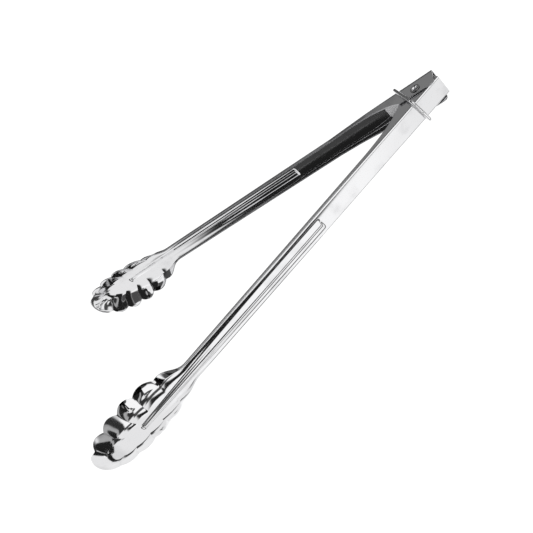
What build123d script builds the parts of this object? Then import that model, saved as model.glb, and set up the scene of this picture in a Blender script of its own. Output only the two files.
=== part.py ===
"""Spring loaded kitchen tongs: two pressed channel arms, a hollow rivet, a leaf spring and a lock ring.

Millimetres, +Z up. The tongs lie on their side, so the hinge axis is the Z axis, and the origin is the
middle of the rivet. +X runs from the hinge to the tips, halfway between the arms. The inner arm is on the
+Y side. The outer arm, whose cheeks straddle the inner arm's, is on the -Y side. The arms are open.
"""

from build123d import *

import os
from math import acos, atan2, cos, degrees, hypot, radians, sin, tan

os.makedirs("parts", exist_ok=True)

# Driving dimensions of the pair
OVERALL_LENGTH = 300.0
HINGE_TO_END = 12.0
HINGE_TO_TIP = OVERALL_LENGTH - HINGE_TO_END
SHEET = 0.8
BACK_OFFSET = 8.2  # hinge axis to the outside of either arm's back
OPENING_ANGLE = 31.0
TIP_GAP = 0.4  # left between the tips when the backs are parallel
SIDE_GAP = 0.3  # between an inner cheek and the outer cheek beside it
BEND_RADIUS = 1.0
OVERRUN = 2.0  # how far a cutting or trimming shape passes the material
OVERLAP = 0.01  # how deep a joined shape sits in the other

# Channel section of the arms
INNER_HALF_WIDTH = 6.5
OUTER_HALF_WIDTH = INNER_HALF_WIDTH + SIDE_GAP + SHEET
CHEEK_REACH = 4.4  # how far the cheeks pass the hinge axis
CHEEK_FRONT = 11.5
CHEEK_CORNER = 2.5
CHEEK_END = 48.0  # where the deep cheek has become the plain flange
CHEEK_SWEEP = [(16.0, -0.4), (24.0, 3.7)]  # control points of the curve between cheek and flange
SHOULDER_START = 34.0  # where the outer arm starts to narrow to the inner arm's width
SHOULDER_END = 62.0
FLANGE_AT_CHEEK = 3.5
FLANGE_AT_NECK = 2.5
NECK = 205.0

# Stiffening rib pressed outward in each back
RIB_START = 92.0
RIB_END = 251.0
RIB_HALF_WIDTH = 3.6
RIB_HALF_WIDTH_AT_END = 2.4
RIB_HEIGHT = 1.0
RIB_FLANK_ANGLE = 40.0

# Scalloped head: five notches a side, at the base fold and at the free edge
HEAD_DEPTH = BACK_OFFSET - TIP_GAP / 2
FULL_DEPTH_X = HINGE_TO_TIP - 4.0  # where the free edge reaches the full depth
FLARE_X = [213.0, 215.0]  # control points of the flare from the neck to the first notch
FLARE_EDGE_X = 217.0
FLARE_EDGE_BULGE = 1.2
WALL_INSET = 1.04  # sheet thickness measured square to the arm, across the sloping wall
NOTCH_X = [225.3, 240.5, 253.8, 267.3, 280.3]
NOTCH_HALF_WIDTH = [14.6, 16.6, 16.6, 15.2, 11.2]
NOTCH_DEPTH = [5.2, 6.2, 6.4, 6.6, 6.6]
EDGE_BULGE = 1.5
BASE_X = [225.3, 240.0, 252.6, 265.2, 275.0]
BASE_HALF_WIDTH = [9.4, 10.2, 9.9, 8.4, 5.0]
BASE_TIP = 280.0
BASE_BULGE = 0.5

# Hollow rivet
RIVET_RADIUS = 2.0
RIVET_BORE_RADIUS = 1.4
RIVET_HEAD_RADIUS = 2.9
RIVET_HEAD = 0.6
RIVET_HEAD_ROUND = 0.36
RIVET_END_PLAY = 0.15
PIVOT_CLEARANCE = 0.05

# Leaf spring
SPRING_THICKNESS = 0.6
SPRING_HALF_WIDTH = 5.0
SPRING_LOOP_RADIUS = 3.3
SPRING_REACH = 23.0
SPRING_STANDOFF = 0.1

# Lock ring, bent from round wire
WIRE_RADIUS = 1.0
RING_GAP = 0.4
RING_HALF_WIDTH = OUTER_HALF_WIDTH + RING_GAP + WIRE_RADIUS
RING_DEPTH = 25.6
RING_CORNER = 2.6
RING_X = 6.8
RING_Y = -1.15
RING_LEAN = 7.0  # the loose ring leans towards the tips on the outer arm's side
RING_TILT = 6.0  # and towards the hinge end at the bottom

HALF_OPENING = OPENING_ANGLE / 2


def level(points, y):
    """Points of an outline, given as (x, z), in the plane at this y."""
    return [Vector(x, y, z) for x, z in points]


def inner_rear_corner(x):
    """Deepest reach of the inner cheek at this x that clears the outer arm's back when open."""
    room = BACK_OFFSET - SHEET - 2 * SIDE_GAP
    opening = radians(OPENING_ANGLE)
    return -(room + x * sin(opening)) / cos(opening)


def share_of(base, edge, share):
    """The value this share of the way from base to edge."""
    return base + (edge - base) * share


def channel_side(cut_rear):
    """Side view of the hinge end, the cheeks and the flange, up to the neck."""
    flange_end = BACK_OFFSET - FLANGE_AT_CHEEK
    neck_edge = BACK_OFFSET - FLANGE_AT_NECK
    if cut_rear:
        opening = radians(OPENING_ANGLE)
        room = BACK_OFFSET - SHEET - 2 * SIDE_GAP
        corner_x = CHEEK_REACH / tan(opening) - room / sin(opening)
        rear_top = inner_rear_corner(-HINGE_TO_END)
        rear = [Line((-HINGE_TO_END, rear_top), (corner_x, -CHEEK_REACH))]
    else:
        corner_x = -HINGE_TO_END + CHEEK_CORNER
        rear_top = -CHEEK_REACH + CHEEK_CORNER
        rear = [RadiusArc((-HINGE_TO_END, rear_top), (corner_x, -CHEEK_REACH), -CHEEK_CORNER)]
    outline = rear + [
        Line((corner_x, -CHEEK_REACH), (CHEEK_FRONT, -CHEEK_REACH)),
        Bezier((CHEEK_FRONT, -CHEEK_REACH), *CHEEK_SWEEP, (CHEEK_END, flange_end)),
        Line((CHEEK_END, flange_end), (NECK, neck_edge)),
        Line((NECK, neck_edge), (NECK, BACK_OFFSET)),
        Line((NECK, BACK_OFFSET), (-HINGE_TO_END, BACK_OFFSET)),
        Line((-HINGE_TO_END, BACK_OFFSET), (-HINGE_TO_END, rear_top)),
    ]
    return make_face(outline)


def channel_plan(hinge_half_width, inset, overrun):
    """Plan of the back, in the plane y = 0, narrowing at the shoulder to the width of the arms."""
    wide = hinge_half_width - inset
    slim = INNER_HALF_WIDTH - inset
    ends = (-HINGE_TO_END - overrun, NECK + overrun)
    half = [(ends[0], wide), (SHOULDER_START, wide), (SHOULDER_END, slim), (ends[1], slim)]
    outline = half + [(x, -z) for x, z in reversed(half)]
    return make_face(Polyline(*level(outline, 0), close=True))


def channel(hinge_half_width, cut_rear):
    """The folded channel without its head, open towards -y."""
    plan = extrude(channel_plan(hinge_half_width, 0, 0), BACK_OFFSET, dir=(0, 1, 0))
    plan += extrude(channel_plan(hinge_half_width, 0, 0), CHEEK_REACH, dir=(0, -1, 0))
    folds = plan.edges().group_by(Axis.Y)[-1].filter_by(Axis.Z, reverse=True)
    plan = fillet(folds, BEND_RADIUS)
    body = plan & extrude(channel_side(cut_rear), 2 * hinge_half_width, both=True)
    hollow_plan = channel_plan(hinge_half_width, SHEET, OVERRUN)
    hollow = extrude(hollow_plan, BACK_OFFSET - SHEET, dir=(0, 1, 0))
    hollow += extrude(hollow_plan, 2 * BACK_OFFSET, dir=(0, -1, 0))
    return body - hollow


def head_outline(depth, inset, start):
    """Scalloped outline of the head at this depth below the back, closed across the neck."""
    share = depth / HEAD_DEPTH
    notches = [
        (share_of(bx, ex, share), share_of(bz, ez, share) - inset)
        for bx, ex, bz, ez in zip(BASE_X, NOTCH_X, BASE_HALF_WIDTH, NOTCH_HALF_WIDTH)
    ]
    tip = share_of(BASE_TIP, HINGE_TO_TIP, share) - inset
    bulge = share_of(BASE_BULGE, EDGE_BULGE, share)
    neck_half = INNER_HALF_WIDTH - min(inset, SHEET)
    y = BACK_OFFSET - depth
    first_x, first_z = notches[0]
    edges = []
    for side in (1, -1):
        flare = level([(start, neck_half * side), (FLARE_X[0], neck_half * side)], y)
        flare += level([(FLARE_X[1], (first_z + bulge) * side), (first_x, first_z * side)], y)
        edges.append(Bezier(*flare))
        for (x0, z0), (x1, z1) in zip(notches, notches[1:]):
            length = hypot(x1 - x0, z1 - z0)
            out = ((z0 - z1) / length * bulge, (x1 - x0) / length * bulge)
            middle = ((x0 + x1) / 2 + out[0], ((z0 + z1) / 2 + out[1]) * side)
            edges.append(ThreePointArc(*level([(x0, z0 * side), middle, (x1, z1 * side)], y)))
    last_x, last_z = notches[-1]
    edges.append(ThreePointArc(*level([(last_x, last_z), (tip, 0), (last_x, -last_z)], y)))
    edges.append(Line(*level([(start, -neck_half), (start, neck_half)], y)))
    return Wire(edges)


def head_side():
    """Side view of the head: the back and a free edge that rises and falls with the scallops."""
    edge = [(x, BACK_OFFSET - depth) for x, depth in zip(NOTCH_X, NOTCH_DEPTH)]
    neck_edge = BACK_OFFSET - FLANGE_AT_NECK
    lowest = BACK_OFFSET - HEAD_DEPTH
    past_tip = HINGE_TO_TIP + OVERRUN
    flare_end = (FLARE_EDGE_X, edge[0][1] - FLARE_EDGE_BULGE)
    curves = [
        Line((NECK, BACK_OFFSET), (NECK, neck_edge)),
        Bezier((NECK, neck_edge), (FLARE_X[0], neck_edge), flare_end, edge[0]),
    ]
    for (x0, y0), (x1, y1) in zip(edge, edge[1:]):
        middle_y = max(lowest, (y0 + y1) / 2 - EDGE_BULGE)
        curves.append(ThreePointArc((x0, y0), ((x0 + x1) / 2, middle_y), (x1, y1)))
    curves.append(Line(edge[-1], (FULL_DEPTH_X, lowest)))
    curves.append(Line((FULL_DEPTH_X, lowest), (past_tip, lowest)))
    curves.append(Line((past_tip, lowest), (past_tip, BACK_OFFSET)))
    curves.append(Line((past_tip, BACK_OFFSET), (NECK, BACK_OFFSET)))
    return make_face(curves)


def head():
    """The flared, scalloped head as a shell of sheet thickness."""
    past = HEAD_DEPTH + OVERRUN
    behind = NECK - OVERRUN
    outer_outlines = [head_outline(0, 0, NECK), head_outline(past, 0, NECK)]
    inner_outlines = [
        head_outline(SHEET, WALL_INSET, behind),
        head_outline(past + OVERRUN, WALL_INSET, behind),
    ]
    outside = Part(Solid.make_loft(outer_outlines, ruled=True).wrapped)
    inside = Part(Solid.make_loft(inner_outlines, ruled=True).wrapped)
    return (outside - inside) & extrude(head_side(), 2 * max(NOTCH_HALF_WIDTH), both=True)


def rib_plan(inset):
    """Plan of the stiffening rib: a long pill that narrows towards the head."""
    wide = RIB_HALF_WIDTH - inset
    slim = RIB_HALF_WIDTH_AT_END - inset
    start = RIB_START + RIB_HALF_WIDTH
    end = RIB_END - RIB_HALF_WIDTH_AT_END
    corners = level([(start, wide), (end, slim), (end, -slim), (start, -wide)], 0)
    tips = level([(end + slim, 0), (start - wide, 0)], 0)
    return make_face(
        [
            Line(corners[0], corners[1]),
            ThreePointArc(corners[1], tips[0], corners[2]),
            Line(corners[2], corners[3]),
            ThreePointArc(corners[3], tips[1], corners[0]),
        ]
    )


def rib(base, inset, height):
    """Rib or its hollow underside, standing on the plane y = base."""
    plan = Pos(0, base, 0) * rib_plan(inset)
    return extrude(plan, height, dir=(0, 1, 0), taper=RIB_FLANK_ANGLE)


def arm(hinge_half_width, cut_rear):
    """One pressed arm in its own frame: back at y = BACK_OFFSET, hollow side towards -y."""
    body = channel(hinge_half_width, cut_rear) + head()
    body += rib(BACK_OFFSET - OVERLAP, 0, RIB_HEIGHT)
    body -= rib(BACK_OFFSET - SHEET - OVERLAP, SHEET / 2, RIB_HEIGHT)
    bore_radius = RIVET_RADIUS + PIVOT_CLEARANCE
    return body - Cylinder(bore_radius, 4 * hinge_half_width)


def pivot_rivet():
    """Tubular rivet with both ends rolled over the outer cheeks."""
    grip = OUTER_HALF_WIDTH + RIVET_END_PLAY
    disc = Cylinder(RIVET_HEAD_RADIUS, RIVET_HEAD)
    disc = fillet(disc.edges().group_by(Axis.Z)[-1], RIVET_HEAD_ROUND)
    upper_head = Pos(0, 0, grip + RIVET_HEAD / 2) * disc
    body = Cylinder(RIVET_RADIUS, 2 * grip) + upper_head + mirror(upper_head, about=Plane.XY)
    return body - Cylinder(RIVET_BORE_RADIUS, 4 * grip)


def return_spring():
    """Flat leaf spring: a loop round the rivet with one straight leg on each arm's back."""
    seat = BACK_OFFSET - SHEET - SPRING_STANDOFF - SPRING_THICKNESS / 2
    half = radians(HALF_OPENING)
    end_x = SPRING_REACH * cos(half) - seat * sin(half)
    end_y = SPRING_REACH * sin(half) + seat * cos(half)
    wrap = degrees(atan2(end_y, end_x) + acos(SPRING_LOOP_RADIUS / hypot(end_x, end_y)))
    tangent = Vector(SPRING_LOOP_RADIUS, 0).rotate(Axis.Z, wrap)
    path = Wire(
        [
            Line((end_x, end_y), tangent),
            ThreePointArc(tangent, (-SPRING_LOOP_RADIUS, 0), (tangent.X, -tangent.Y)),
            Line((tangent.X, -tangent.Y), (end_x, -end_y)),
        ]
    )
    start = Plane(origin=path @ 0, x_dir=(0, 0, 1), z_dir=path % 0)
    return sweep(start * Rectangle(2 * SPRING_HALF_WIDTH, SPRING_THICKNESS), path)


def lock_ring():
    """Rectangular loop of round wire that drops over both arms."""
    outline = Rectangle(RING_DEPTH, 2 * RING_HALF_WIDTH)
    loop = fillet(outline.vertices(), RING_CORNER).wire()
    flat = Plane(origin=(0, 0, 0), x_dir=(0, 1, 0), z_dir=(1, 0, 0)) * loop
    path = Pos(RING_X, RING_Y, 0) * Rot(0, RING_TILT, RING_LEAN) * flat
    start = Plane(origin=path @ 0, z_dir=path % 0)
    return sweep(start * Circle(WIRE_RADIUS), path)


inner_arm = Rot(0, 0, HALF_OPENING) * arm(INNER_HALF_WIDTH, True)
outer_arm = Rot(0, 0, -HALF_OPENING) * mirror(arm(OUTER_HALF_WIDTH, False), about=Plane.XZ)

nodes = {
    "inner_arm": inner_arm,
    "outer_arm": outer_arm,
    "pivot_rivet": pivot_rivet(),
    "return_spring": return_spring(),
    "lock_ring": lock_ring(),
}
for name, shape in nodes.items():
    export_step(shape, f"parts/{name}.step")
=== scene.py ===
"""Spring loaded kitchen tongs: pressed sheet arms, hollow rivet, leaf spring and lock ring in polished steel.

Metres. The hinge axis is Z, +X runs from the hinge to the tips, and the inner arm lies on the +Y side.
"""

import logging
from dataclasses import dataclass
from enum import Enum
from math import acos, atan2, cos, hypot, pi, radians, sin, sqrt, tan
from typing import Dict, List, Optional, Sequence, Tuple, Union

import bmesh
import bpy
from mathutils import Matrix, Vector

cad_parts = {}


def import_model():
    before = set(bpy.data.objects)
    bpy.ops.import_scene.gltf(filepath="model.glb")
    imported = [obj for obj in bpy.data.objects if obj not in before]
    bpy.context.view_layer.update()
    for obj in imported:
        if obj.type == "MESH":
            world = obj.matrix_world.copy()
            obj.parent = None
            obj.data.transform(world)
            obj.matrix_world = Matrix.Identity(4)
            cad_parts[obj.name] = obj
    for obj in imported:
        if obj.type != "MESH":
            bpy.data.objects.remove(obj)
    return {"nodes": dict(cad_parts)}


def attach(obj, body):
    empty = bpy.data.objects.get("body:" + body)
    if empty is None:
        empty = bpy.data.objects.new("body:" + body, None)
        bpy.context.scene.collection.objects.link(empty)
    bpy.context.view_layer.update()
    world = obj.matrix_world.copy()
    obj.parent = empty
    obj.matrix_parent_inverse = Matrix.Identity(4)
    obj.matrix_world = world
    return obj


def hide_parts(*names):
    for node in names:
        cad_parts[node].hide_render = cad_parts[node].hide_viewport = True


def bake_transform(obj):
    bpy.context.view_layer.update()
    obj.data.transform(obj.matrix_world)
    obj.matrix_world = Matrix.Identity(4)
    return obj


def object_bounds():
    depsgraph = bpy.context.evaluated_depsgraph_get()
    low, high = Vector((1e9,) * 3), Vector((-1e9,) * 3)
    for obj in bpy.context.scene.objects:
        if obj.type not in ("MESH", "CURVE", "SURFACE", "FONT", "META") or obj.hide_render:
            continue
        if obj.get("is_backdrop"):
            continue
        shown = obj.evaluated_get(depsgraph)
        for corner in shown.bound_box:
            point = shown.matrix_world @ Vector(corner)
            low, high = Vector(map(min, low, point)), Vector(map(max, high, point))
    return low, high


LOG = logging.getLogger("tongs")
MM = 0.001
HALVINGS = 30

Point = Tuple[float, float, float]
Span = Tuple[float, float]
Number = Union[float, "Term"]


class Side(Enum):
    """Which side of the middle plane an arm lies on."""

    INNER = 1
    OUTER = -1


# ---------------------------------------------------------------------------------------------------------
# Shader maths


class Shader:
    """Builds one node tree and hands out terms that can be added and multiplied."""

    def __init__(self, tree: bpy.types.NodeTree) -> None:
        """Keep the tree that nodes are added to."""
        self.tree = tree

    def node(
        self,
        kind: str,
        settings: Optional[Dict[str, object]] = None,
        inputs: Optional[Dict[Union[str, int], object]] = None,
    ) -> bpy.types.Node:
        """Add a node.

        Args:
            kind: The node's type, such as ShaderNodeTexNoise.
            settings: Attributes set before any socket is touched.
            inputs: Values, sockets or terms by socket name or number.

        Returns:
            The new node.
        """
        made = self.tree.nodes.new(kind)
        for name, value in (settings or {}).items():
            setattr(made, name, value)
        for name, value in (inputs or {}).items():
            socket = made.inputs[name]
            if isinstance(value, Term):
                self.tree.links.new(value.socket, socket)
            elif isinstance(value, bpy.types.NodeSocket):
                self.tree.links.new(value, socket)
            else:
                socket.default_value = value
        return made

    def term(self, socket: bpy.types.NodeSocket) -> "Term":
        """Wrap a socket."""
        return Term(self, socket)

    def attribute(self, name: str) -> "Term":
        """A number stored on the mesh's points."""
        return self.term(self.node("ShaderNodeAttribute", {"attribute_name": name}).outputs["Fac"])

    def position(self) -> bpy.types.NodeSocket:
        """The point in the object's own frame."""
        return self.node("ShaderNodeTexCoord").outputs["Object"]

    def direction(self) -> bpy.types.NodeSocket:
        """The direction in which the world is looked at."""
        return self.node("ShaderNodeTexCoord").outputs["Generated"]

    def grey(self, level: "Term") -> bpy.types.NodeSocket:
        """A grey of this brightness."""
        return self.mix(level, (0.0, 0.0, 0.0), (1.0, 1.0, 1.0))

    def scaled(self, stretch: Point) -> bpy.types.NodeSocket:
        """The object's point multiplied by a stretch along each axis."""
        multiply = self.node(
            "ShaderNodeVectorMath", {"operation": "MULTIPLY"}, {0: self.position(), 1: stretch}
        )
        return multiply.outputs[0]

    def noise(self, vector: object, scale: float, detail: float = 3.0, rough: float = 0.5) -> "Term":
        """Noise from 0 to 1 at a scale in features per metre."""
        made = self.node(
            "ShaderNodeTexNoise",
            {"noise_dimensions": "3D"},
            {"Vector": vector, "Scale": scale, "Detail": detail, "Roughness": rough},
        )
        return self.term(made.outputs["Fac"])

    def mix(self, share: "Term", first: Sequence[float], second: Sequence[float]) -> bpy.types.NodeSocket:
        """Blend two colours by a term."""
        made = self.node(
            "ShaderNodeMix",
            {"data_type": "RGBA", "clamp_factor": True},
            {0: share, 6: tuple(first) + (1.0,), 7: tuple(second) + (1.0,)},
        )
        return made.outputs[2]

    def bump(self, height: "Term", strength: float, distance: float) -> bpy.types.NodeSocket:
        """A bumped normal."""
        made = self.node(
            "ShaderNodeBump", None, {"Strength": strength, "Distance": distance, "Height": height}
        )
        return made.outputs["Normal"]


class Term:
    """A number socket that arithmetic can be written on."""

    def __init__(self, shader: Shader, socket: bpy.types.NodeSocket) -> None:
        """Remember the shader and the socket."""
        self.shader = shader
        self.socket = socket

    def _math(self, operation: str, first: Number, second: Number, third: Number = 0.0) -> "Term":
        """Add one Math node."""
        made = self.shader.node(
            "ShaderNodeMath", {"operation": operation}, {0: first, 1: second, 2: third}
        )
        return Term(self.shader, made.outputs[0])

    def __add__(self, other: Number) -> "Term":
        """self + other."""
        return self._math("ADD", self, other)

    def __radd__(self, other: Number) -> "Term":
        """other + self."""
        return self._math("ADD", other, self)

    def __sub__(self, other: Number) -> "Term":
        """self - other."""
        return self._math("SUBTRACT", self, other)

    def __rsub__(self, other: Number) -> "Term":
        """other - self."""
        return self._math("SUBTRACT", other, self)

    def __mul__(self, other: Number) -> "Term":
        """self * other."""
        return self._math("MULTIPLY", self, other)

    def __rmul__(self, other: Number) -> "Term":
        """other * self."""
        return self._math("MULTIPLY", other, self)

    def ramp(self, low: float, high: float) -> "Term":
        """0 below low, 1 above high and a smooth rise between."""
        made = self.shader.node(
            "ShaderNodeMapRange",
            {"interpolation_type": "SMOOTHSTEP"},
            {"Value": self, "From Min": low, "From Max": high},
        )
        return Term(self.shader, made.outputs["Result"])

    def band(self, low: float, high: float, soft: float) -> "Term":
        """1 between low and high, 0 outside, with soft edges."""
        return self.ramp(low - soft, low + soft) * (1 - self.ramp(high - soft, high + soft))

    def heading(self, forward: "Term") -> "Term":
        """Angle of self against forward, in radians."""
        return self._math("ARCTAN2", self, forward)

    def clamped(self, low: float, high: float) -> "Term":
        """self held between low and high."""
        made = self.shader.node("ShaderNodeClamp", None, {"Value": self, "Min": low, "Max": high})
        return Term(self.shader, made.outputs["Result"])


# ---------------------------------------------------------------------------------------------------------
# Finishes


@dataclass(frozen=True)
class SteelFinish:
    """Stainless steel with rolling lines, handling smears, fine scratches, rougher pressed creases and cut
    edges, and painted shade that darkens the creases and the cut edges.

    Attributes:
        name: Material name.
        clean: Colour of the clean metal.
        dull: Colour of smears and pits, and of the painted shade in creases and on cut edges.
        roughness: Roughness of the cleanest metal.
        smear: Extra roughness where the metal has been handled.
        relief: Distance that the bumps stand for, in metres.
        along: Stretch of the rolling lines along each axis.
        smear_scale: Smears per metre.
        smear_range: Noise levels between which a smear appears.
        pit_scale: Pits per metre.
        pit_range: Noise levels between which a pit appears.
        cut_range: Levels of the rim mask between which the cut edge appears.
        crease_painted_shade, smear_wear, pit_wear, cut_painted_shade: How far each turns the colour dull; at
        creases and cut edges this darkening is painted shade.
        line_rough, crease_rough, cut_rough, pit_rough: Roughness that each adds.
        rough_range: Least and greatest roughness.
        line_height, cloud_height: Shares of the lines and of the smears in the bumps.
        bump: Strength of the bumps.
    """

    name: str
    clean: Point = (0.80, 0.80, 0.81)
    dull: Point = (0.36, 0.36, 0.37)
    roughness: float = 0.05
    smear: float = 0.05
    relief: float = 0.000002
    along: Point = (60.0, 2600.0, 2600.0)
    smear_scale: float = 55.0
    smear_range: Span = (0.50, 0.72)
    pit_scale: float = 900.0
    pit_range: Span = (0.66, 0.80)
    cut_range: Span = (0.55, 0.95)
    crease_painted_shade: float = 0.15
    smear_wear: float = 0.25
    pit_wear: float = 0.15
    cut_painted_shade: float = 0.8
    line_rough: float = 0.02
    crease_rough: float = 0.04
    cut_rough: float = 0.26
    pit_rough: float = 0.05
    rough_range: Span = (0.03, 0.6)
    line_height: float = 0.4
    cloud_height: float = 4.0
    bump: float = 0.35

    def build(self) -> bpy.types.Material:
        """Make the material.

        Returns:
            The finished material.
        """
        material = bpy.data.materials.new(self.name)
        material.use_nodes = True
        tree = material.node_tree
        tree.nodes.clear()
        shader = Shader(tree)
        lines = shader.noise(shader.scaled(self.along), 1.0, 2.0, 0.6)
        cloud = shader.noise(shader.position(), self.smear_scale, 4.0, 0.55)
        smears = cloud.ramp(*self.smear_range)
        pits = shader.noise(shader.position(), self.pit_scale, 2.0, 0.5).ramp(*self.pit_range)
        crease = shader.attribute("crease")
        cut = shader.attribute("rim").ramp(*self.cut_range)
        # Smears and pits are wear; the darkening at creases and cut edges is painted shade.
        wear_and_painted_shade = crease * self.crease_painted_shade + smears * self.smear_wear + pits * self.pit_wear
        wear_and_painted_shade = (wear_and_painted_shade + cut * self.cut_painted_shade).clamped(0.0, 1.0)
        rough = self.roughness + smears * self.smear + lines * self.line_rough + crease * self.crease_rough
        rough = (rough + cut * self.cut_rough + pits * self.pit_rough).clamped(*self.rough_range)
        height = lines * self.line_height + cloud * self.cloud_height
        surface = shader.node(
            "ShaderNodeBsdfPrincipled",
            None,
            {
                "Base Color": shader.mix(wear_and_painted_shade, self.clean, self.dull),
                "Metallic": 1.0,
                "Roughness": rough,
                "Normal": shader.bump(height, self.bump, self.relief),
            },
        )
        output = shader.node("ShaderNodeOutputMaterial")
        tree.links.new(surface.outputs[0], output.inputs["Surface"])
        return material


@dataclass(frozen=True)
class PlainSurface:
    """Evenly glowing studio surface, with a faint mottle so that it isn't dead flat.

    Attributes:
        name: Material name.
        colour: Colour of the light.
        glow: Emission strength.
        mottle_scale: Patches of the mottle per metre.
        mottle_level: Brightness of the mottle's darkest patches.
    """

    name: str
    colour: Point
    glow: float
    mottle_scale: float = 14.0
    mottle_level: float = 0.985

    def build(self) -> bpy.types.Material:
        """Make the material.

        Returns:
            The finished material.
        """
        material = bpy.data.materials.new(self.name)
        material.use_nodes = True
        tree = material.node_tree
        tree.nodes.clear()
        shader = Shader(tree)
        mottle = shader.noise(shader.position(), self.mottle_scale, 3.0)
        tint = shader.mix(mottle, self.colour, tuple(self.mottle_level * c for c in self.colour))
        surface = shader.node(
            "ShaderNodeBsdfPrincipled",
            None,
            {
                "Base Color": (0.0, 0.0, 0.0, 1.0),
                "Roughness": 0.9,
                "Specular IOR Level": 0.1,
                "Emission Color": tint,
                "Emission Strength": self.glow,
            },
        )
        output = shader.node("ShaderNodeOutputMaterial")
        tree.links.new(surface.outputs[0], output.inputs["Surface"])
        return material


# ---------------------------------------------------------------------------------------------------------
# Mesh helpers


def smooth(share: float) -> float:
    """Ease from 0 to 1."""
    held = min(1.0, max(0.0, share))
    return held * held * (3 - 2 * held)


def between(value: float, low: float, high: float) -> float:
    """Share of the way from low to high."""
    return (value - low) / (high - low)


def bezier(share: float, stops: Sequence[float]) -> float:
    """Cubic Bezier value."""
    rest = 1 - share
    weights = (rest**3, 3 * rest * rest * share, 3 * rest * share * share, share**3)
    return sum(weight * stop for weight, stop in zip(weights, stops))


def curve_height(x: float, points: Sequence[Tuple[float, float]]) -> float:
    """Height of a cubic Bezier curve at an x.

    Args:
        x: Where the height is wanted, between the curve's ends.
        points: The curve's four control points.

    Returns:
        The height, found by halving.
    """
    low, high = 0.0, 1.0
    for _ in range(HALVINGS):
        middle = (low + high) / 2
        if bezier(middle, [point[0] for point in points]) < x:
            low = middle
        else:
            high = middle
    return bezier((low + high) / 2, [point[1] for point in points])


def scallop(
    along: float, index: int, xs: Sequence[float], halves: Sequence[float], bulge: float
) -> Tuple[float, float]:
    """A point of the arc between two notches.

    Args:
        along: Share of the way from one notch to the next.
        index: Number of the first notch.
        xs: Where the notches are along the arm.
        halves: Half the width at each notch.
        bulge: How far the arc stands out.

    Returns:
        Place along and across the arm.
    """
    x0, x1, z0, z1 = xs[index], xs[index + 1], halves[index], halves[index + 1]
    length = hypot(x1 - x0, z1 - z0)
    rise = bulge * 4 * along * (1 - along)
    place_x = x0 + (x1 - x0) * along + (z0 - z1) / length * rise
    place_z = z0 + (z1 - z0) * along + (x1 - x0) / length * rise
    return place_x, place_z


def lobe(along: float, x: float, half: float, tip: float) -> Tuple[float, float]:
    """A point of the round end, an arc centred on the arm.

    Args:
        along: Share of the way from the last notch to the tip.
        x: Where the last notch is.
        half: Half the width at the last notch.
        tip: Where the arc crosses the middle.

    Returns:
        Place along and across the arm.
    """
    reach = tip - x
    radius = (reach**2 + half**2) / (2 * reach)
    start = atan2(half, x - tip + radius)
    angle = start * (1 - along)
    return tip - radius + radius * cos(angle), radius * sin(angle)


def make_mesh(
    name: str,
    points: Sequence[Vector],
    faces: Sequence[Sequence[int]],
    masks: Optional[Dict[str, Sequence[float]]] = None,
) -> bpy.types.Object:
    """Make a mesh object from points in millimetres.

    Args:
        name: Name of the piece.
        points: Vertices in millimetres.
        faces: Vertex numbers of each face.
        masks: Point attributes by name, for the finish.

    Returns:
        The linked object.
    """
    mesh = bpy.data.meshes.new(name)
    mesh.from_pydata([tuple(p * MM) for p in points], [], [tuple(f) for f in faces])
    mesh.update()
    for label, values in (masks or {}).items():
        attribute = mesh.attributes.new(label, "FLOAT", "POINT")
        attribute.data.foreach_set("value", list(values))
    made = bpy.data.objects.new(name, mesh)
    bpy.context.scene.collection.objects.link(made)
    return made


def dress(made: bpy.types.Object, material: bpy.types.Material, crisp: float = 30.0) -> None:
    """Give a piece its material and smooth shading with crisp edges above an angle in degrees."""
    made.data.materials.clear()
    made.data.materials.append(material)
    for polygon in made.data.polygons:
        polygon.use_smooth = True
    made.data.set_sharp_from_angle(angle=radians(crisp))


def apply_modifiers(made: bpy.types.Object) -> None:
    """Replace a piece's mesh by its shape with modifiers, and drop them."""
    graph = bpy.context.evaluated_depsgraph_get()
    mesh = bpy.data.meshes.new_from_object(made.evaluated_get(graph))
    made.modifiers.clear()
    made.data = mesh


def lathe(name: str, profile: Sequence[Tuple[float, float]], around: int, capped: bool) -> bpy.types.Object:
    """Turn a profile about the Z axis.

    Args:
        name: Name of the piece.
        profile: Radius and height of each point, running upward on the outside.
        around: Number of points round the axis.
        capped: True to close the ends, False to join the profile's last point to its first.

    Returns:
        The turned piece.
    """
    count = len(profile)
    points = []
    for step in range(around):
        angle = 2 * pi * step / around
        points += [Vector((radius * cos(angle), radius * sin(angle), height)) for radius, height in profile]
    faces: List[List[int]] = []
    for step in range(around):
        here, there = step * count, (step + 1) % around * count
        for number in range(count - 1 if capped else count):
            above = (number + 1) % count
            faces.append([here + number, there + number, there + above, here + above])
    if capped:
        faces.append([step * count for step in reversed(range(around))])
        faces.append([step * count + count - 1 for step in range(around)])
    return make_mesh(name, points, faces)


def loft(name: str, rings: Sequence[Sequence[Vector]], closed: bool) -> bpy.types.Object:
    """Join rings of points into a tube.

    Args:
        name: Name of the piece.
        rings: Rings with the same number of points.
        closed: True to join the last ring to the first, False to cap both ends.

    Returns:
        The tube.
    """
    around = len(rings[0])
    points = [point for ring in rings for point in ring]
    faces: List[List[int]] = []
    for number in range(len(rings) if closed else len(rings) - 1):
        here, there = number * around, (number + 1) % len(rings) * around
        for step in range(around):
            beside = (step + 1) % around
            faces.append([here + step, here + beside, there + beside, there + step])
    if not closed:
        faces.append(list(range(around))[::-1])
        faces.append([len(points) - around + step for step in range(around)])
    made = make_mesh(name, points, faces)
    shape = bmesh.new()
    shape.from_mesh(made.data)
    bmesh.ops.recalc_face_normals(shape, faces=shape.faces)
    shape.to_mesh(made.data)
    shape.free()
    return made


# ---------------------------------------------------------------------------------------------------------
# The arms


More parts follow.
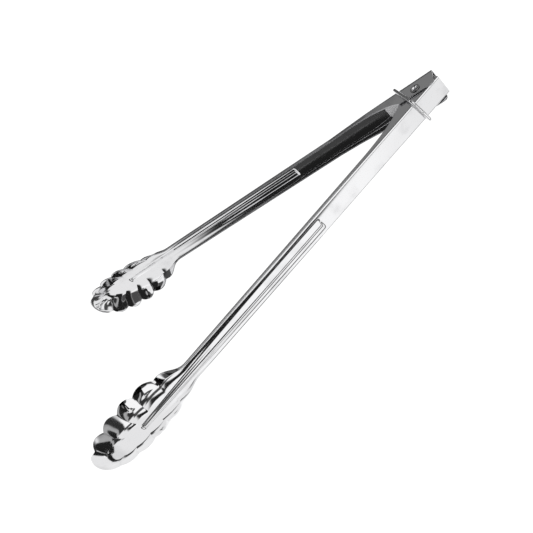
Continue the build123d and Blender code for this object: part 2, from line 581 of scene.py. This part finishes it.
@dataclass
class PressedArm:
    """One arm pressed from sheet, in its own frame: back at y = back_offset, open towards -y.

    The surface is one grid. A row runs from the middle of the back, over the fold and down the cheek,
    flange or head wall to the free edge. Rows stand square to the arm up to the last part of the head,
    where they fan round the tip. All sizes are in millimetres.
    """

    side: Side
    name: str
    body: str
    hinge_half_width: float
    arm_half_width: float = 6.5
    back_offset: float = 8.2
    sheet: float = 0.8
    end: float = -12.0
    bend: float = 1.0
    cheek_reach: float = 4.4
    cheek_front: float = 11.5
    cheek_corner: float = 2.5
    cheek_end: float = 48.0
    cheek_sweep: Tuple[Tuple[float, float], ...] = ((16.0, -0.4), (24.0, 3.7))
    rear_clearance: float = 0.6
    flange_at_cheek: float = 3.5
    flange_at_neck: float = 2.5
    shoulder: Tuple[float, float] = (34.0, 62.0)
    neck: float = 205.0
    opening: float = 31.0
    rib_start: float = 92.0
    rib_end: float = 251.0
    rib_half: Tuple[float, float] = (4.2, 2.2)
    rib_height: float = 1.0
    rib_start_round: float = 1.8
    head_depth: float = 8.0
    tip: float = 288.0
    base_tip: float = 280.0
    flare: Tuple[float, float] = (213.0, 215.0)
    flare_bulge: float = 1.2
    notch_x: Tuple[float, ...] = (225.3, 240.5, 253.8, 267.3, 280.3)
    notch_half: Tuple[float, ...] = (14.6, 16.6, 16.6, 15.2, 11.2)
    notch_depth: Tuple[float, ...] = (5.2, 6.2, 6.4, 6.6, 6.6)
    base_x: Tuple[float, ...] = (225.3, 240.0, 252.6, 265.2, 275.0)
    base_half: Tuple[float, ...] = (9.4, 10.2, 9.9, 8.4, 5.0)
    edge_bulge: float = 1.5
    base_bulge: float = 0.95
    tip_depth_share: float = 0.45
    fan_start: float = 240.0
    fan_reach: float = 28.0
    crown_start: float = 20.0
    crown_slope: float = 0.055
    crown_ease: float = 12.0
    shoulder_strip: Span = (1.2, 2.2)
    shoulder_growth: float = 0.7
    shoulder_slope: float = 0.24
    shoulder_ease: float = 14.0
    widest_strip: float = 0.8
    bowl_ease: float = 12.0
    bowl_strip: float = 6.5
    bowl_slope: float = 0.62
    rivet_hole: float = 2.05
    rivet_hole_sides: int = 64
    cutter_reach: float = 20.0
    rim_bevel: float = 0.12
    rim_angle: float = 62.0
    crisp_angle: float = 33.0
    crease_reach: float = 0.12
    corner_rows: int = 10
    row_step: float = 1.1
    last_step: float = 1.2
    fine_step: float = 0.4
    fine_before: float = 1.0
    fine_length: float = 6.0
    rib_columns: int = 15
    rib_column_start: float = 0.7
    rib_column_step: float = 0.26
    outer_columns: int = 9
    rows_per_scallop: int = 18
    fold_steps: int = 6
    wall_steps: int = 10
    wall_swell: float = 0.12
    rim_strip: float = 0.25

    def half_width(self, x: float) -> float:
        """Half the width across the folds at this x, up to the neck."""
        share = min(1.0, max(0.0, between(x, *self.shoulder)))
        return self.hinge_half_width + (self.arm_half_width - self.hinge_half_width) * share

    def free_edge(self, x: float) -> float:
        """Height of the free edge of the cheek or flange, up to the neck.

        Args:
            x: Distance from the hinge axis along the arm.

        Returns:
            The free edge's y.
        """
        flange = self.back_offset - self.flange_at_cheek
        if x >= self.cheek_end:
            neck_edge = self.back_offset - self.flange_at_neck
            return flange + (neck_edge - flange) * between(x, self.cheek_end, self.neck)
        if x >= self.cheek_front:
            front = (self.cheek_front, -self.cheek_reach)
            return curve_height(x, (front,) + self.cheek_sweep + ((self.cheek_end, flange),))
        if self.side is Side.OUTER:
            run = max(0.0, self.end + self.cheek_corner - x)
            return self.cheek_corner - self.cheek_reach - sqrt(self.cheek_corner**2 - run**2)
        turn = radians(self.opening)
        room = self.back_offset - self.sheet - self.rear_clearance
        return max(-self.cheek_reach, -(room + x * sin(turn)) / cos(turn))

    def rib_lift(self, x: float, z: float) -> float:
        """How far the pressed rib stands proud of the back.

        Args:
            x: Distance along the arm.
            z: Distance from the middle of the back.

        Returns:
            Height above the flat of the back.
        """
        wide, slim = self.rib_half
        half = wide + (slim - wide) * max(0.0, between(x, self.rib_start, self.rib_end)) ** 3
        before = max(0.0, self.rib_start + self.rib_start_round - x) * half / self.rib_start_round
        beyond = max(before, x - self.rib_end + slim)
        distance = (beyond**3 + abs(z) ** 3) ** (1 / 3)
        return self.rib_height * cos(pi / 2 * min(1.0, distance / half)) ** 2

    def sag(self, x: float, distance: float, span: float) -> Tuple[float, float]:
        """How far the back has curved down, and its slope there.

        The back is slightly crowned, its outer strips slope down beside the rib, and the head is a bowl.

        Args:
            x: Distance along the arm.
            distance: Distance from the middle of the back.
            span: Distance from the middle to the fold.

        Returns:
            Drop below the flat, and downward slope.
        """
        rise = self.crown_slope * smooth((x - self.crown_start) / self.crown_ease)
        drop = rise * distance**2 / (2 * span)
        slope = rise * distance / span
        along = between(x, self.rib_start, self.neck)
        narrow, wide = self.shoulder_strip
        into_head = smooth(between(x, self.neck - self.bowl_ease, self.notch_x[1]))
        strip = narrow + (wide - narrow) * min(1.0, max(0.0, along)) ** self.shoulder_growth
        strip += (self.bowl_strip - strip) * into_head
        steep = self.shoulder_slope * smooth(along * self.shoulder_ease)
        steep += (self.bowl_slope - steep) * into_head
        strip = min(strip, self.widest_strip * span)
        inside = max(0.0, distance - span + strip) / strip
        return drop + steep * strip * inside**2 / 2, slope + steep * inside

    def outline(self, share: float) -> Tuple[Vector, Vector]:
        """Fold and free edge of the head.

        Args:
            share: 0 at the neck, 1 at the first notch, one more for each scallop, 6 at the tip.

        Returns:
            The sharp corner of the fold, and the free edge.
        """
        index = min(4, int(share) - 1) if share > 1 else -1
        along = share - 1 - index
        if index < 0:
            base = self._flare_point(share, self.base_x[0], self.base_half[0], self.base_bulge)
            edge = self._flare_point(share, self.notch_x[0], self.notch_half[0], self.edge_bulge)
            first = self.notch_depth[0]
            depth = bezier(share, (self.flange_at_neck, self.flange_at_neck, first + self.flare_bulge, first))
        elif index < 4:
            base = scallop(smooth(along), index, self.base_x, self.base_half, self.base_bulge)
            edge = scallop(along, index, self.notch_x, self.notch_half, self.edge_bulge)
            start, finish = self.notch_depth[index], self.notch_depth[index + 1]
            middle = (start + finish) / 2
            rise = min(self.head_depth, middle + self.edge_bulge) - middle
            depth = start + (finish - start) * along + rise * 4 * along * (1 - along)
        else:
            base = lobe(along, self.base_x[4], self.base_half[4], self.base_tip)
            edge = lobe(along, self.notch_x[4], self.notch_half[4], self.tip)
            last = self.notch_depth[4]
            depth = last + (self.head_depth - last) * smooth(along / self.tip_depth_share)
        wall = depth / self.head_depth
        fold = Vector((base[0], self.back_offset, base[1]))
        free = Vector((base[0] + (edge[0] - base[0]) * wall, 0, base[1] + (edge[1] - base[1]) * wall))
        free.y = self.back_offset - depth
        return fold, free

    def _flare_point(self, share: float, x: float, half: float, bulge: float) -> Tuple[float, float]:
        """A point of the flare from the neck to the first notch."""
        start = self.arm_half_width
        across = bezier(share, (start, start, half + bulge, half))
        return bezier(share, (self.neck,) + self.flare + (x,)), across

    def rows(self) -> List[Tuple[Vector, Vector, Vector, float, float]]:
        """Every row of the half arm, from the hinge end to the tip.

        Returns:
            The middle of the back, the fold's sharp corner, the free edge, how creased the row is, and how
            far its wall swells.
        """
        made = []
        for x in self._stations():
            middle = Vector((x, self.back_offset, 0))
            fold = Vector((x, self.back_offset, self.half_width(x)))
            made.append((middle, fold, Vector((x, self.free_edge(x), fold.z)), 0.0, 0.0))
        for step in range(1, 6 * self.rows_per_scallop + 1):
            share = step / self.rows_per_scallop
            fold, free = self.outline(share)
            middle = Vector((fold.x, self.back_offset, 0))
            if share > 2:
                middle.x = self.fan_start + self.fan_reach * between(share, 2, 6)
            scalloped = 0.8 < share < 5.2  # takes in the first and the last notch
            crease = smooth(1 - abs(share - round(share)) / self.crease_reach) if scalloped else 0.0
            along = share - int(share)
            swell = self.wall_swell * 4 * along * (1 - along) if 1 < share < 6 else 0.0
            made.append((middle, fold, free, crease, swell))
        return made

    def _stations(self) -> List[float]:
        """Places along the channel where rows stand, closer where the shape turns."""
        turns = [pi / 2 * step / self.corner_rows for step in range(self.corner_rows + 1)]
        stops = [self.end + self.cheek_corner * (1 - cos(turn)) for turn in turns]
        while stops[-1] < self.neck - self.last_step:
            near_rib_start = 0 < stops[-1] - self.rib_start + self.fine_before < self.fine_length
            stops.append(stops[-1] + (self.fine_step if near_rib_start else self.row_step))
        return stops + [self.neck]

    def _row_points(self, middle: Vector, fold: Vector, free: Vector, swell: float) -> List[Vector]:
        """Points of one row.

        Args:
            middle: The middle of the back.
            fold: The sharp corner that the fold rounds.
            free: The free edge.
            swell: How far the wall swells, as a share of its length.

        Returns:
            Points from the middle of the back to the free edge.
        """
        across = fold - middle
        span = across.length
        across.normalize()
        drop, slope = self.sag(fold.x, span, span)
        fold = fold - Vector((0, drop, 0))
        back = Vector((across.x, -slope, across.z)).normalized()
        wall = free - fold
        fall = wall.length
        wall.normalize()
        half_angle = acos(max(-1.0, min(1.0, -back.dot(wall)))) / 2
        radius = min(self.bend, 0.5 * fall * tan(half_angle))
        setback = radius / tan(half_angle)
        points = []
        for distance in self._back_columns(span - setback * hypot(back.x, back.z)):
            point = middle + across * distance
            point.y += self.rib_lift(point.x, point.z) - self.sag(fold.x, distance, span)[0]
            points.append(point)
        inward = (wall - back).normalized()
        centre = fold + inward * (radius / sin(half_angle))
        first = fold - back * setback - centre
        last = fold + wall * setback - centre
        for step in range(1, self.fold_steps + 1):
            points.append(centre + first.slerp(last, step / self.fold_steps))
        start = fold + wall * setback
        length = (free - start).length
        outward = -inward
        outward = (outward - wall * outward.dot(wall)).normalized()
        for step in range(1, self.wall_steps + 1):
            share = min(step / (self.wall_steps - 1) * (1 - self.rim_strip / length), 1.0)
            share = 1.0 if step == self.wall_steps else share
            points.append(start.lerp(free, share) + outward * (swell * length * 4 * share * (1 - share)))
        return points

    def _back_columns(self, span: float) -> List[float]:
        """Distances of the back's points from its middle: fixed over the rib, then spread to the fold."""
        steps = range(self.rib_columns)
        fixed = [0.0, 0.4] + [self.rib_column_start + self.rib_column_step * step for step in steps]
        reach = span - fixed[-1]
        spread = self.outer_columns
        return fixed + [fixed[-1] + reach * step / spread for step in range(1, spread + 1)]

    def place(self, point: Vector) -> Vector:
        """A point of the arm's own frame in the object's frame."""
        sign = self.side.value
        turn = Matrix.Rotation(radians(sign * self.opening / 2), 3, "Z")
        return turn @ Vector((point.x, sign * point.y, point.z))

    def build(self, material: bpy.types.Material) -> bpy.types.Object:
        """Make the arm: the outer surface, its thickness, its rims and its rivet holes.

        Args:
            material: The finish.

        Returns:
            The finished arm.
        """
        rows = self.rows()
        points: List[Vector] = []
        masks: Dict[str, List[float]] = {"crease": [], "rim": []}
        table: Dict[Tuple[int, int, int], int] = {}
        for number, (middle, fold, free, crease, swell) in enumerate(rows):
            line = self._row_points(middle, fold, free, swell)
            for mirrored in (1, -1):
                for column, point in enumerate(line):
                    shared = mirrored < 0 and (column == 0 or number == len(rows) - 1)
                    if shared:
                        table[number, column, -1] = table[number, column, 1]
                        continue
                    table[number, column, mirrored] = len(points)
                    points.append(self.place(Vector((point.x, point.y, point.z * mirrored))))
                    # The crease and rim masks mark where the finish paints shade: the creases at the head's
                    # notches and the cut edges.
                    beyond = column - (len(line) - self.wall_steps - self.fold_steps - 1)
                    masks["crease"].append(crease * smooth(beyond / self.fold_steps))
                    masks["rim"].append(1.0 if column == len(line) - 1 or number == 0 else 0.0)
        faces = []
        for number in range(len(rows) - 1):
            for column in range(len(line) - 1):
                for mirrored in (1, -1):
                    quad = [
                        table[number, column, mirrored],
                        table[number, column + 1, mirrored],
                        table[number + 1, column + 1, mirrored],
                        table[number + 1, column, mirrored],
                    ]
                    faces.append(quad if mirrored * self.side.value > 0 else quad[::-1])
        arm = make_mesh(self.name + "_pressing", points, faces, masks)
        self._thicken(arm)
        dress(arm, material, self.crisp_angle)
        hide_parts(self.name)
        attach(arm, self.body)
        return arm

    def _thicken(self, arm: bpy.types.Object) -> None:
        """Give the surface its sheet thickness, bevel its rims and bore the rivet holes."""
        shell = arm.modifiers.new("sheet", "SOLIDIFY")
        shell.thickness = self.sheet * MM
        shell.offset = -1.0
        shell.use_even_offset = True
        rims = arm.modifiers.new("rims", "BEVEL")
        rims.width = self.rim_bevel * MM
        rims.segments = 2
        rims.limit_method = "ANGLE"
        rims.angle_limit = radians(self.rim_angle)
        apply_modifiers(arm)
        self._grind(arm)
        side = [(self.rivet_hole, -self.cutter_reach), (self.rivet_hole, self.cutter_reach)]
        cutter = lathe("rivet_bore_cutter", side, self.rivet_hole_sides, True)
        bore = arm.modifiers.new("bore", "BOOLEAN")
        bore.operation = "DIFFERENCE"
        bore.object = cutter
        bore.solver = "EXACT"
        apply_modifiers(arm)
        bpy.data.objects.remove(cutter)

    def _grind(self, arm: bpy.types.Object) -> None:
        """Level the head's rim so that the two heads meet along a flat edge."""
        turn = Matrix.Rotation(radians(self.side.value * self.opening / 2), 3, "Z")
        back = turn.inverted()
        lowest = (self.back_offset - self.head_depth) * MM
        for vertex in arm.data.vertices:
            spot = back @ vertex.co
            spot.y *= self.side.value
            if spot.x > self.neck * MM and spot.y < lowest:
                spot.y = lowest
                vertex.co = turn @ Vector((spot.x, spot.y * self.side.value, spot.z))


# ---------------------------------------------------------------------------------------------------------
# Rivet, spring and ring


@dataclass
class HollowRivet:
    """Tubular rivet whose ends are rolled over the outer cheeks, with painted shade darkening the rolled
    lips. Sizes in millimetres.
    """

    radius: float = 2.0
    bore: float = 1.4
    lip_radius: float = 2.9
    lip_height: float = 0.6
    lip_swell: float = 0.42
    lip_base: float = 0.08
    lip_turn: float = 144.0
    lip_steps: int = 12
    flare: float = 0.12
    flare_length: float = 0.25
    funnel: float = 0.35
    funnel_length: float = 0.4
    grip: float = 7.75
    painted_shade_from: float = 0.3
    around: int = 72

    def profile(self) -> List[Tuple[float, float]]:
        """Closed outline of the rivet's wall, as radius and height."""
        upper = [(self.radius, 0.0), (self.radius, self.grip - self.flare_length)]
        upper.append((self.radius + self.flare, self.grip))
        middle = self.lip_radius - self.lip_swell
        for step in range(self.lip_steps + 1):
            angle = radians(self.lip_turn) * step / self.lip_steps
            height = self.grip + self.lip_base + (self.lip_height - self.lip_base) * sin(angle)
            upper.append((middle + self.lip_swell * cos(angle), height))
        upper.append((self.bore + self.flare, self.grip - self.funnel))
        upper.append((self.bore, self.grip - self.funnel - self.funnel_length))
        lower = [(radius, -height) for radius, height in reversed(upper[1:])]
        return upper + [(self.bore, 0.0)] + lower

    def build(self, material: bpy.types.Material) -> bpy.types.Object:
        """Make the rivet.

        Args:
            material: The finish.

        Returns:
            The finished rivet.
        """
        rivet = lathe("hinge_rivet", self.profile(), self.around, False)
        # The rolled lip outside the bore is marked for the finish's dark colour: painted shade on the lip.
        lip = rivet.data.attributes.new("rim", "FLOAT", "POINT")
        painted_shade_from = (self.bore + self.painted_shade_from) * MM
        lip.data.foreach_set("value", [float(hypot(*v.co.xy) > painted_shade_from) for v in rivet.data.vertices])
        dress(rivet, material, 40.0)
        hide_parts("pivot_rivet")
        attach(rivet, "inner")
        return rivet


@dataclass
class LeafSpring:
    """Flat spring looped round the rivet, one straight leg against each arm's back. Sizes in millimetres."""

    thickness: float = 0.6
    half_width: float = 5.0
    loop_radius: float = 3.3
    reach: float = 23.0
    seat: float = 7.0
    half_opening: float = 15.5
    end_round: float = 2.2
    edge_round: float = 0.14
    leg_steps: int = 40
    loop_steps: int = 72

    def path(self) -> List[Tuple[Vector, float]]:
        """The strip's middle line.

        Returns:
            Each point with its distance from the nearer end.
        """
        half = radians(self.half_opening)
        end_x = self.reach * cos(half) - self.seat * sin(half)
        end_y = self.reach * sin(half) + self.seat * cos(half)
        end = Vector((end_x, end_y, 0))
        wrap = atan2(end.y, end.x) + acos(self.loop_radius / end.length)
        touch = Vector((cos(wrap), sin(wrap), 0)) * self.loop_radius
        leg = (touch - end).length
        upper = []
        for step in range(self.leg_steps):
            share = step / self.leg_steps
            share = (share + share * share) / 2  # closer together at the rounded end
            upper.append((end.lerp(touch, share), leg * share))
        line = list(upper)
        for step in range(self.loop_steps + 1):
            angle = wrap + (2 * pi - 2 * wrap) * step / self.loop_steps
            line.append((Vector((cos(angle), sin(angle), 0)) * self.loop_radius, leg))
        for point, distance in reversed(upper):
            line.append((Vector((point.x, -point.y, 0)), distance))
        return line

    def build(self, material: bpy.types.Material) -> bpy.types.Object:
        """Make the spring.

        Args:
            material: The finish.

        Returns:
            The finished spring.
        """
        line = self.path()
        rings = []
        for number, (point, distance) in enumerate(line):
            before = line[max(0, number - 1)][0]
            after = line[min(len(line) - 1, number + 1)][0]
            along = (after - before).normalized()
            across = Vector((-along.y, along.x, 0))
            short = max(0.0, self.end_round - distance)
            width = self.half_width - self.end_round + sqrt(max(0.0, self.end_round**2 - short**2))
            rings.append([point + across * a + Vector((0, 0, z)) for a, z in self._section(width)])
        spring = loft("return_leaf_spring", rings, False)
        dress(spring, material, 35.0)
        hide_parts("return_spring")
        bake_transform(spring)
        return spring

    def _section(self, width: float) -> List[Tuple[float, float]]:
        """Outline of the strip across its length: thickness by width, with rolled corners."""
        half = self.thickness / 2
        cut = self.edge_round
        corners = [(half, width - cut), (half - cut, width), (-half + cut, width), (-half, width - cut)]
        return corners + [(-a, -z) for a, z in corners]


@dataclass
class LockRing:
    """Rectangular loop of round wire round both arms. Sizes in millimetres.

    The wire's ends meet in a groove, seam deep, in the middle of the side along the inner arm's back.
    """

    wire: float = 1.0
    half_width: float = 9.0
    depth: float = 25.6
    corner: float = 2.6
    centre: Point = (6.8, -1.15, 0.0)
    lean: float = 7.0
    tilt: float = 6.0
    seam: float = 0.10
    around: int = 24
    corner_steps: int = 14
    side_steps: int = 24

    def path(self) -> List[Vector]:
        """The wire's middle line, a closed loop in its own plane, whose last side lies along +y."""
        flat_y, flat_z = self.depth / 2 - self.corner, self.half_width - self.corner
        line: List[Vector] = []
        quarter = pi / 2
        corners = [(flat_y, flat_z), (-flat_y, flat_z), (-flat_y, -flat_z), (flat_y, -flat_z)]
        for number, (y, z) in enumerate(corners):
            for step in range(self.corner_steps + 1):
                angle = quarter * (number + step / self.corner_steps)
                line.append(Vector((0, y + self.corner * cos(angle), z + self.corner * sin(angle))))
            next_y, next_z = corners[(number + 1) % 4]
            start = line[-1]
            angle = quarter * (number + 1)
            finish = Vector((0, next_y + self.corner * cos(angle), next_z + self.corner * sin(angle)))
            for step in range(1, self.side_steps):
                line.append(start.lerp(finish, step / self.side_steps))
        return line

    def build(self, material: bpy.types.Material) -> bpy.types.Object:
        """Make the ring.

        Args:
            material: The finish.

        Returns:
            The finished ring.
        """
        line = self.path()
        turn = Matrix.Rotation(radians(self.tilt), 3, "Y") @ Matrix.Rotation(radians(self.lean), 3, "Z")
        joint = len(line) - self.side_steps // 2
        rings = []
        for number, point in enumerate(line):
            along = (line[(number + 1) % len(line)] - line[number - 1]).normalized()
            outward = Vector((1, 0, 0))
            beside = along.cross(outward)
            radius = self.wire - (self.seam if number == joint else 0.0)
            section = []
            for step in range(self.around):
                angle = 2 * pi * step / self.around
                spot = point + (outward * cos(angle) + beside * sin(angle)) * radius
                section.append(turn @ spot + Vector(self.centre))
            rings.append(section)
        ring = loft("lock_ring_wire", rings, True)
        dress(ring, material, 50.0)
        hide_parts("lock_ring")
        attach(ring, "ring")
        return ring


# ---------------------------------------------------------------------------------------------------------
# Studio


@dataclass(frozen=True)
class Card:
    """A dark card in the studio, with soft edges.

    Attributes:
        headings: First and last heading and how soft they are, or None for a card all the way round.
        fade_in: Heights between which the card begins, going up, or None if it has no lower edge.
        fade_out: Heights between which it ends, going up, or None if it has no upper edge.
        strength: Share of the light that it takes away.
    """

    headings: Optional[Point]
    fade_in: Optional[Span]
    fade_out: Optional[Span]
    strength: float

    def shade(self, heading: Term, height: Term) -> Term:
        """How much of the light the card takes away.

        Args:
            heading: Heading of each direction.
            height: Upward part of each direction.

        Returns:
            0 where the card isn't, up to its strength where it is.
        """
        parts = []
        if self.headings:
            parts.append(heading.band(*self.headings))
        if self.fade_in:
            parts.append(height.ramp(*self.fade_in))
        if self.fade_out:
            parts.append(1 - height.ramp(*self.fade_out))
        shade = parts[0]
        for part in parts[1:]:
            shade = shade * part
        return shade * self.strength


@dataclass(frozen=True)
class SlopedEdge:
    """Edge of a card that runs level, rises with heading and runs level again.

    Attributes:
        level: Height before the rise.
        start: Heading where the rise begins.
        slope: Rise per radian.
        rise: The whole rise.
    """

    level: float
    start: float
    slope: float
    rise: float

    def height(self, heading: Term) -> Term:
        """Height of the edge at each heading."""
        return ((heading - self.start) * self.slope).clamped(0.0, self.rise) + self.level


@dataclass(frozen=True)
class Surroundings:
    """White studio walls with dark cards, as the light that arrives from each direction.

    A heading is an angle in radians from +Y towards +X, and a climb is one from +Y towards +Z. A height is
    the upward part of a direction, and a tilted height is its part along the leaning axis called tilt. A
    band is given by its ends and how soft they are, and a fade by where it begins and where it ends.
    """

    strength: float = 1.15
    tilt: Point = (0.143, 0.51, 0.848)
    black: float = 0.985
    horizon: Span = (-0.003, 0.003)
    near_headings: Point = (-1.4, 0.06, 0.03)
    near_lower: SlopedEdge = SlopedEdge(-0.02, -0.087, 3.1, 0.3)
    near_lower_fade: Span = (-0.015, 0.015)
    near_upper: SlopedEdge = SlopedEdge(0.18, -0.227, 2.07, 0.5)
    near_upper_fade: Span = (-0.05, 0.10)
    far_headings: Point = (0.42, 0.82, 0.03)
    far_gap_headings: Point = (0.38, 0.50, 0.02)
    far_gap_fade: Span = (0.30, 0.40)
    under_headings: Point = (0.50, 0.965, 0.02)
    under_fade: Span = (-1.45, -1.25)
    under_strength: float = 0.94
    overhead_climbs: Point = (1.13, 2.25, 0.05)
    overhead_side_fade: Span = (-0.02, 0.03)
    overhead_heading_fade: Span = (-1.5, -1.2)
    overhead_strength: float = 0.90
    rear_fade: Span = (-0.62, -0.5)
    rear_height_fade: Span = (-0.1, 0.1)
    rear_strength: float = 0.93
    rear_top_fade: Span = (0.46, 0.50)
    rear_top_loss: float = 0.12
    below_heights: Point = (-0.60, -0.33, 0.02)
    below_heading_fade: Span = (0.02, 0.10)
    below_strength: float = 0.85
    cards: Tuple[Card, ...] = (
        Card((0.9, 1.5, 0.05), (-0.94, -0.92), (-0.85, -0.83), 0.9),  # low down, short of +X
        Card((0.04, 2.3, 0.03), None, (0.3, 0.4), 0.16),  # faint, from +Y past +X, up to a low height
        Card((0.08, 0.40, 0.04), (0.34, 0.42), None, 0.97),  # above the last one, beside +Y
        Card((0.82, 2.1, 0.04), (0.42, 0.50), None, 0.93),  # above it, around +X
        Card((0.40, 0.50, 0.02), (0.36, 0.44), None, 0.6),  # grey strip next to the one beside +Y
        Card((0.10, 2.1, 0.04), (0.74, 0.80), None, 0.96),  # high up, from +Y past +X
        Card((-0.21, 0.14, 0.03), (0.22, 0.26), (0.42, 0.46), 0.93),  # small patch at +Y
        Card(None, (0.93, 0.96), None, 0.93),  # straight above
        Card((-1.4, -0.5, 0.08), None, (0.18, 0.24), 0.14),  # faint, from +Y to -X, up to a low height
    )

    def light(self, x: Term, y: Term, z: Term) -> Term:
        """Brightness of the surroundings.

        Args:
            x: Part of the direction along the tongs.
            y: Part of the direction across them.
            z: Part of the direction upward.

        Returns:
            0 for black, 1 for white.
        """
        heading = x.heading(y)
        along, across, upward = self.tilt
        tilted = x * along + y * across + z * upward
        shades = [self._near(heading, tilted)]
        shades += self._far(heading, z.heading(y), z, tilted)
        shades += [card.shade(heading, z) for card in self.cards]
        shades += self._around(heading, (x, y, z), tilted)
        light = 1 - shades[0]
        for shade in shades[1:]:
            light = light * (1 - shade)
        return light

    def _near(self, heading: Term, tilted: Term) -> Term:
        """The black band from +Y to -X, between two sloped edges."""
        over_lower = (tilted - self.near_lower.height(heading)).ramp(*self.near_lower_fade)
        over_upper = (tilted - self.near_upper.height(heading)).ramp(*self.near_upper_fade)
        return over_lower * (1 - over_upper) * heading.band(*self.near_headings) * self.black

    def _far(self, heading: Term, climb: Term, z: Term, tilted: Term) -> List[Term]:
        """The black card above the tilted horizon, with a gap in it, and the dark grey card below.

        Args:
            heading: Heading of each direction.
            climb: Climb of each direction.
            z: Height of each direction.
            tilted: Tilted height of each direction.

        Returns:
            How much light each of the two cards takes away.
        """
        over_horizon = tilted.ramp(*self.horizon)
        gap = heading.band(*self.far_gap_headings) * z.ramp(*self.far_gap_fade)
        above = heading.band(*self.far_headings) * (1 - gap) * over_horizon * self.black
        under = heading.band(*self.under_headings) * (1 - over_horizon) * climb.ramp(*self.under_fade)
        return [above, under * self.under_strength]

    def _around(self, heading: Term, toward: Tuple[Term, Term, Term], tilted: Term) -> List[Term]:
        """The cards overhead, at the rear and below.

        Args:
            heading: Heading of each direction.
            toward: The direction's parts along X, Y and Z.
            tilted: Tilted height of each direction.

        Returns:
            How much light each of the three cards takes away.
        """
        x, y, z = toward
        overhead = z.heading(y).band(*self.overhead_climbs) * (1 - x.ramp(*self.overhead_side_fade))
        overhead = overhead * (1 - heading.ramp(*self.overhead_heading_fade)) * self.overhead_strength
        rear = (1 - y.ramp(*self.rear_fade)) * z.ramp(*self.rear_height_fade)
        rear = rear * (self.rear_strength - z.ramp(*self.rear_top_fade) * self.rear_top_loss)
        below = tilted.band(*self.below_heights) * (1 - heading.ramp(*self.below_heading_fade))
        return [overhead, rear, below * self.below_strength]


@dataclass
class Studio:
    """White glowing table top, surroundings and camera. The sizes are in metres, the roll in degrees."""

    drop: float = 0.0004
    half_size: float = 4.0
    glow: float = 1.1
    eye: Point = (0.0124, 0.3886, 0.2374)
    aim: Point = (0.1297, 0.0293, 0.0)
    roll: float = -50.2
    lens: float = 51.02
    clip_start: float = 0.01

    def table(self, low: float) -> bpy.types.Object:
        """Make the table top just below the object.

        Args:
            low: The object's lowest height, in metres.

        Returns:
            The table top.
        """
        size = self.half_size / MM
        height = (low - self.drop) / MM
        corners = [Vector((x * size, y * size, height)) for x, y in ((-1, -1), (1, -1), (1, 1), (-1, 1))]
        top = make_mesh("table_top", corners, [(0, 1, 2, 3)])
        top.data.materials.append(PlainSurface("white_table", (1.0, 1.0, 1.0), self.glow).build())
        top.visible_glossy = False
        top.visible_diffuse = False
        top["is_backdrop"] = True
        return top

    def walls(self) -> None:
        """Make the world from the surroundings."""
        surroundings = Surroundings()
        world = bpy.data.worlds.new("studio")
        bpy.context.scene.world = world
        world.use_nodes = True
        tree = world.node_tree
        tree.nodes.clear()
        shader = Shader(tree)
        parts = shader.node("ShaderNodeSeparateXYZ", None, {0: shader.direction()}).outputs
        x, y, z = (shader.term(part) for part in parts)
        colour = shader.grey(surroundings.light(x, y, z))
        inputs = {"Color": colour, "Strength": surroundings.strength}
        background = shader.node("ShaderNodeBackground", None, inputs)
        output = shader.node("ShaderNodeOutputWorld")
        tree.links.new(background.outputs[0], output.inputs["Surface"])

    def camera(self) -> bpy.types.Object:
        """Make the camera.

        Returns:
            The camera, rolled about its line of sight.
        """
        data = bpy.data.cameras.new("camera")
        data.lens = self.lens
        data.clip_start = self.clip_start
        forward = (Vector(self.aim) - Vector(self.eye)).normalized()
        level = forward.cross(Vector((0, 0, 1))).normalized()
        above = level.cross(forward)
        turn = radians(self.roll)
        right = level * cos(turn) + above * sin(turn)
        up = right.cross(forward)
        made = bpy.data.objects.new("camera", data)
        made.matrix_world = Matrix(
            (
                (right.x, up.x, -forward.x, self.eye[0]),
                (right.y, up.y, -forward.y, self.eye[1]),
                (right.z, up.z, -forward.z, self.eye[2]),
                (0, 0, 0, 1),
            )
        )
        bpy.context.scene.collection.objects.link(made)
        bpy.context.scene.camera = made
        bpy.context.scene.view_settings.view_transform = "Standard"
        return made


def main() -> None:
    """Build the tongs and the studio."""
    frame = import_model()
    cad_box = [list(corner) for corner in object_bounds()]
    LOG.info("frame has nodes %s", sorted(frame["nodes"]))
    polished = SteelFinish("polished_sheet").build()
    rivet_steel = SteelFinish(
        "rolled_rivet",
        # The rivet's near-black dull colour is painted shade on its rolled lips, and also colours its smears
        # and pits.
        dull=(0.10, 0.10, 0.10),
        roughness=0.14,
        relief=0.000004,
        along=(900.0, 900.0, 300.0),
    ).build()
    spring_steel = SteelFinish("spring_strip", roughness=0.42, smear=0.08).build()
    ring_steel = SteelFinish("drawn_wire", roughness=0.08, along=(500.0, 500.0, 500.0)).build()
    made = [
        PressedArm(Side.INNER, "inner_arm", "inner", 6.5).build(polished),
        PressedArm(Side.OUTER, "outer_arm", "outer", 7.6).build(polished),
        HollowRivet().build(rivet_steel),
        LeafSpring().build(spring_steel),
        LockRing().build(ring_steel),
    ]
    for piece in made:
        LOG.info("%s has %d faces", piece.name, len(piece.data.polygons))
    studio = Studio()
    studio.table(cad_box[0][2])
    studio.walls()
    studio.camera()


if __name__ == "__main__":
    logging.basicConfig(level=logging.INFO)
    main()
